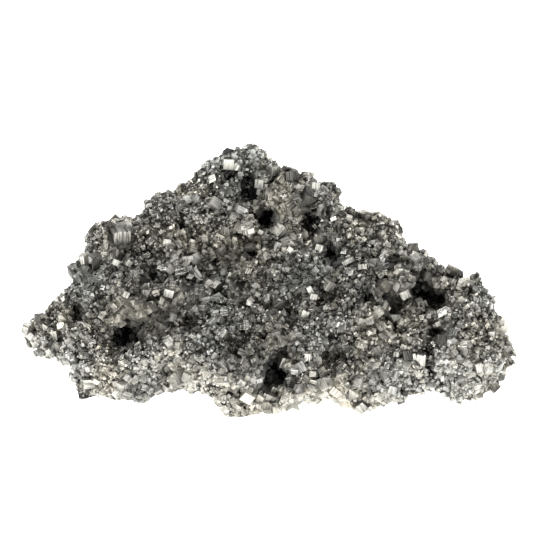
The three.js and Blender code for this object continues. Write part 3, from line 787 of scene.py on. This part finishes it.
def add_plates(crust, block, sizes):
    """Plates of nearly one size, stacked along the first axis."""
    shape = (len(sizes), GROUP_MEMBERS)
    step = sizes[:, None, 0] / GROUP_MEMBERS
    offsets = rng.uniform(-PLATE["aside"], PLATE["aside"], (*shape, 3)) * sizes[:, None]
    offsets[:, :, 0] = (np.arange(GROUP_MEMBERS) - (GROUP_MEMBERS - 1) / 2) * step
    members = rng.uniform(*PLATE["width"], (*shape, 3)) * sizes[:, None]
    members[:, :, 0] = PLATE["overlap"] * step
    cubes_in(crust, block, offsets, members)


def add_blocks(crust, mesh, corners, count, limits, add):
    """Blocks of random size within the limits, each with its members added by the given function."""
    points, chosen = surface_points(corners, count)
    kept = values_on(mesh, "bare", chosen) < BLOCK_BARE
    points, chosen = points[kept], chosen[kept]
    sizes = limits[0] + (limits[1] - limits[0]) * rng.random(len(points)) ** BLOCK_SKEW
    outward = outward_of(corners[chosen])
    places = points - outward * (sizes * BLOCK_SUNK)[:, None]
    tone_and_shade = tone_and_shade_on(mesh, points, chosen)
    add(crust, (places, random_turns(len(points)), tone_and_shade, points, outward), np.tile(sizes[:, None], 3))


def landmark_place(x, y, depth, seen):
    """The place of a landmark's centre where it is seen at x and y, given where its root is seen."""
    across, up, near = seen
    level = near + LANDMARK_RAISED - LANDMARK_SUNK * depth * MM
    right = across + np.clip(x * MM - across, -LANDMARK_SHIFT, LANDMARK_SHIFT)
    above = up + np.clip(y * MM - up, -LANDMARK_SHIFT, LANDMARK_SHIFT)
    place = np.array([right, 0, 0]) + np.array(UP) * above
    return np.array(AIM) + place * (1 - level / DISTANCE) + np.array(VIEW) * level


def add_landmarks(crust, corners):
    """The crystals that stand out, each where it is seen."""
    middles, outward = corners.mean(1), outward_of(corners)
    across, up, near = in_picture(middles)
    facing = outward @ np.array(VIEW) > LANDMARK_FACING
    for x, y, width, depth, height, yaw, nod, roll, lightness, plated in LANDMARKS:
        away = np.where(facing, np.hypot(across - x * MM, up - y * MM), np.inf)
        around = away < max(LANDMARK_AROUND, LANDMARK_NEAREST * away.min())
        root = np.where(around, near, -np.inf).argmax()
        place = landmark_place(x, y, depth, (across[root], up[root], near[root]))
        turn = Euler([math.radians(angle) for angle in (nod, roll, yaw)]).to_matrix()
        tone_and_shade = np.array([[lightness, WARMTH["middle"], LANDMARK_DULLNESS, 0]])
        block = (place[None], np.array(turn)[None], tone_and_shade, middles[[root]], outward[[root]])
        sizes = np.array([[width, depth, height]]) * MM
        if plated:
            add_plates(crust, block, sizes)
        else:
            cubes_in(crust, block, np.zeros((1, 1, 3)), sizes[:, None])


def grown_crust(mesh):
    """The whole crust on the skin, without the crystals that would hide a landmark."""
    corners = triangles_of(mesh)
    crust, landmarks = Crust(), Crust()
    add_single(crust, mesh, corners)
    add_blocks(crust, mesh, corners, GROUPS, GROUP_SIZE, add_parallel)
    add_blocks(crust, mesh, corners, STACKS, STACK_SIZE, add_plates)
    add_landmarks(landmarks, corners)
    crust.open_before(landmarks)
    crust.rows += landmarks.rows
    return crust


def growth_lines(points, faces, scaled):
    """For each corner of each face, in millimetres: its place across and along that face's growth lines."""
    axis = np.abs(normals_of(points[faces])).argmax(1)
    both = np.stack([(axis + 2) % 3, (axis + 1) % 3], 1)
    places = scaled[:, faces] / MM
    picked = np.take_along_axis(places, np.broadcast_to(both[None, :, None], (*places.shape[:3], 2)), 3)
    return (picked + rng.uniform(0, LINES_SHIFT, (len(scaled), 1, 1, 2))).reshape(-1, 2)


def tone_and_shade_at(placed, crystals):
    """The tone and shade values at each point of the crystals, with painted shade near their roots."""
    _, _, sizes, _, tone_and_shade, roots, outward = crystals
    values = np.repeat(tone_and_shade[:, None], placed.shape[1], 1)
    height = ((placed - roots[:, None]) * outward[:, None]).sum(2)
    height /= sizes.mean(1)[:, None]
    root_shade = ROOT_SHADE["most"] * np.clip(1 - height / ROOT_SHADE["height"], 0, 1)
    root_shade *= 1 - ROOT_SHADE["spared"] * values[:, :, 0]
    values[:, :, 3] = 1 - (1 - values[:, :, 3]) * (1 - root_shade)
    return values.reshape(-1, 4)


def shaped(form, crystals, start):
    """Points, triangles, tone and painted-shade values, and growth lines of crystals of one form. Their
    points are numbered from start."""
    points, faces = form
    centres, turns, sizes = crystals[:3]
    scaled = points[None] * sizes[:, None, :]
    placed = np.einsum("nij,nkj->nki", turns, scaled) + centres[:, None]
    first = start + np.arange(len(placed)) * len(points)
    numbered = (faces[None] + first[:, None, None]).reshape(-1, 3)
    return placed.reshape(-1, 3), numbered, tone_and_shade_at(placed, crystals), growth_lines(points, faces, scaled)


def crystal_piece(name, crystals, shapes, material):
    """One mesh of many closed crystals, with their tone and painted-shade values and growth lines."""
    habits = crystals[3]
    made, start = [], 0
    for habit, form in enumerate(shapes):
        made.append(shaped(form, [column[habits == habit] for column in crystals], start))
        start += len(made[-1][0])
    points, faces, tone_and_shade, lines = (np.concatenate(parts) for parts in zip(*made))
    piece = new_mesh_object(name, points, faces, material)
    values = piece.data.attributes.new("tone_and_shade", "FLOAT_COLOR", "POINT")
    values.data.foreach_set("color", tone_and_shade.astype(np.float32).ravel())
    layer = piece.data.uv_layers.new(name="growth_lines")
    layer.uv.foreach_set("vector", lines.astype(np.float32).ravel())
    return piece


def make_crystals(mesh, material):
    """The crust of crystals on the skin, in pieces from left to right."""
    columns = grown_crust(mesh).inside()
    shares = np.array_split(np.argsort(columns[0][:, 0]), PIECES)
    shapes = forms()
    return [
        crystal_piece(f"crystals_{number}", [column[share] for column in columns], shapes, material)
        for number, share in enumerate(shares, 1)
    ]


# Materials

def set_inputs(tree, made, inputs):
    """Sets a node's inputs by name, each to a value or to another node's output."""
    for name, value in inputs.items():
        if isinstance(value, bpy.types.NodeSocket):
            tree.links.new(value, made.inputs[name])
        else:
            made.inputs[name].default_value = value


def node(tree, kind, inputs, **settings):
    """A new node's outputs, once its settings and its inputs are made."""
    made = tree.nodes.new(kind)
    for name, value in settings.items():
        setattr(made, name, value)
    set_inputs(tree, made, inputs)
    return made.outputs


def coloured(tree, value, stops):
    """A colour that follows a value through the stops, each a position and a colour."""
    made = tree.nodes.new("ShaderNodeValToRGB")
    tree.links.new(value, made.inputs["Fac"])
    elements = made.color_ramp.elements
    elements[0].position, elements[0].color = stops[0]
    elements[1].position, elements[1].color = stops[-1]
    for position, colour in stops[1:-1]:
        elements.new(position).color = colour
    return made.outputs["Color"]


def mixed(tree, blend, factor, first, second):
    """Two colours blended by a factor."""
    inputs = {"Factor": factor, "A": first, "B": second}
    return node(tree, "ShaderNodeMix", inputs, data_type="RGBA", blend_type=blend)["Result"]


def ranged(tree, value, limits):
    """A number that goes between its limits while the value goes from its start to 1."""
    inputs = {"Value": value, "From Min": limits["start"], "To Min": limits["from"], "To Max": limits["to"]}
    return node(tree, "ShaderNodeMapRange", inputs)["Result"]


def bent_normals(tree, height, relief):
    """Normals bent by a height pattern."""
    inputs = {"Height": height, "Strength": relief["strength"], "Distance": relief["height"]}
    return node(tree, "ShaderNodeBump", inputs)["Normal"]


def new_material(name):
    """A new material, its node tree and its shader."""
    material = bpy.data.materials.new(name)
    material.use_nodes = True
    return material, material.node_tree, material.node_tree.nodes["Principled BSDF"]


def matrix_material():
    """The fine dark grains between the crystals, darkened further by painted shade."""
    material, tree, shader = new_material("pyrite_matrix")
    place = node(tree, "ShaderNodeTexCoord", {})["Object"]
    inputs = {"Vector": place, "Scale": GRAIN["scale"], "Detail": GRAIN["detail"]}
    grain = node(tree, "ShaderNodeTexNoise", inputs)["Fac"]
    shade = node(tree, "ShaderNodeAttribute", {}, attribute_name="shade")["Fac"]
    set_inputs(tree, shader, {
        "Base Color": mixed(tree, "MIX", shade, coloured(tree, grain, GRAIN_COLOURS), DEEP_SHADE),
        **GRAIN_SURFACE,
        "Normal": bent_normals(tree, grain, GRAIN),
    })
    return material


def groove_pattern(tree):
    """Noise drawn out along the growth lines."""
    lines = node(tree, "ShaderNodeUVMap", {}, uv_map="growth_lines")["UV"]
    spread = node(tree, "ShaderNodeMapping", {"Vector": lines, "Scale": GROOVES["scale"]})["Vector"]
    inputs = {"Vector": spread, "Scale": 1, "Detail": GROOVES["detail"]}
    return node(tree, "ShaderNodeTexNoise", inputs)["Fac"]


def crystal_material():
    """Bright grooved faces, each crystal lighter or darker, warmer or cooler, smoother or duller, with
    painted shade in its grooves' bottoms and where its values carry it.
    """
    material, tree, shader = new_material("pyrite_crystals")
    tone_and_shade = node(tree, "ShaderNodeAttribute", {}, attribute_name="tone_and_shade")
    values = node(tree, "ShaderNodeSeparateColor", {"Color": tone_and_shade["Color"]})
    lightness, warmth, dullness = values["Red"], values["Green"], values["Blue"]
    grooves = groove_pattern(tree)
    light, warm = coloured(tree, lightness, LIGHTNESS_COLOURS), coloured(tree, warmth, WARMTH_COLOURS)
    unshaded_colour = mixed(tree, "MULTIPLY", 1, light, warm)
    # Painted shade in the grooves' bottoms, less on light crystals.
    groove_shade = coloured(tree, grooves, GROOVE_SHADE_COLOURS)
    groove_shaded = mixed(tree, "MULTIPLY", ranged(tree, lightness, GROOVE_SHADE), unshaded_colour, groove_shade)
    # The alpha carries painted shade: at the roots, in the hollows and in darker patches.
    set_inputs(tree, shader, {
        "Base Color": mixed(tree, "MIX", tone_and_shade["Alpha"], groove_shaded, DEEP_SHADE),
        "Metallic": ranged(tree, dullness, METALLIC),
        "Roughness": ranged(tree, dullness, ROUGHNESS),
        "Specular IOR Level": GLOSS,
        "Normal": bent_normals(tree, grooves, GROOVES),
    })
    return material


# Studio

def make_sky():
    """A sky that is bright at the horizon and dark above, for the crystals to mirror."""
    world = bpy.data.worlds.new("studio")
    bpy.context.scene.world = world
    world.use_nodes = True
    tree = world.node_tree
    place = node(tree, "ShaderNodeTexCoord", {})["Generated"]
    rise = node(tree, "ShaderNodeSeparateXYZ", {"Vector": place})["Z"]
    inputs = {"Color": coloured(tree, rise, SKY_COLOURS), "Strength": SKY_STRENGTH}
    set_inputs(tree, tree.nodes["Background"], inputs)


def make_floor():
    """A wide sheet of white paper."""
    corners = [(-FLOOR_HALF, -FLOOR_HALF, 0), (FLOOR_HALF, -FLOOR_HALF, 0),
               (FLOOR_HALF, FLOOR_HALF, 0), (-FLOOR_HALF, FLOOR_HALF, 0)]
    paper, tree, shader = new_material("white_paper")
    set_inputs(tree, shader, PAPER)
    floor = new_mesh_object("floor", corners, np.array([[0, 1, 2, 3]]), paper)


def make_lamp(name, place, size, power):
    light = bpy.data.lights.new(name, "AREA")
    light.shape = "RECTANGLE"
    light.size, light.size_y = size
    light.energy = power
    lamp = linked(bpy.data.objects.new(name, light))
    lamp.location = place
    lamp.rotation_euler = (LAMPS_AIM - Vector(place)).to_track_quat("-Z", "Y").to_euler()


def make_studio():
    bpy.context.scene.view_settings.view_transform = "Standard"
    make_sky()
    make_floor()
    for lamp in LAMPS:
        make_lamp(*lamp)


make_camera()
SKIN = make_skin(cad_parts["pyrite_cluster"], matrix_material())
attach(SKIN, "root")
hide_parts("pyrite_cluster")
for crust in make_crystals(SKIN.data, crystal_material()):
    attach(crust, "root")
make_studio()
